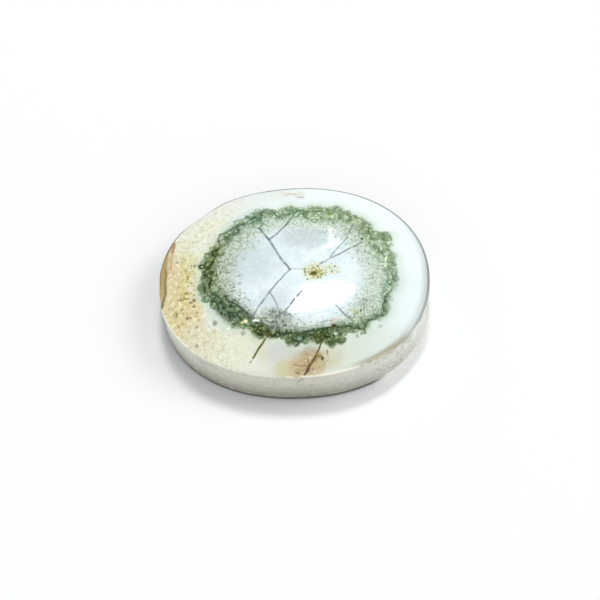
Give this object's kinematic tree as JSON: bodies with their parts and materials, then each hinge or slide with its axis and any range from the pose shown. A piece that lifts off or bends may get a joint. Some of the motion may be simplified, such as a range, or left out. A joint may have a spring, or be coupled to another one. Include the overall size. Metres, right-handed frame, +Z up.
{
  "type": "moss agate cabochon",
  "caption": "Oval moss agate cabochon: a polished milky stone with a low dome, an upright wall, a flat base and a ring of green moss inclusions.",
  "frame": {"origin": "centre of the bounding box, on the flat base", "axes": "+X along the stone's long axis, +Y along its width, +Z up through the dome"},
  "size_m": [0.025, 0.02, 0.0068],
  "materials": {
    "moss_agate": "milky chalcedony with green moss inclusions; polished dome, finely ground wall and base"
  },
  "bodies": {
    "root": {"cabochon": "moss_agate"}
  },
  "joints": []
}
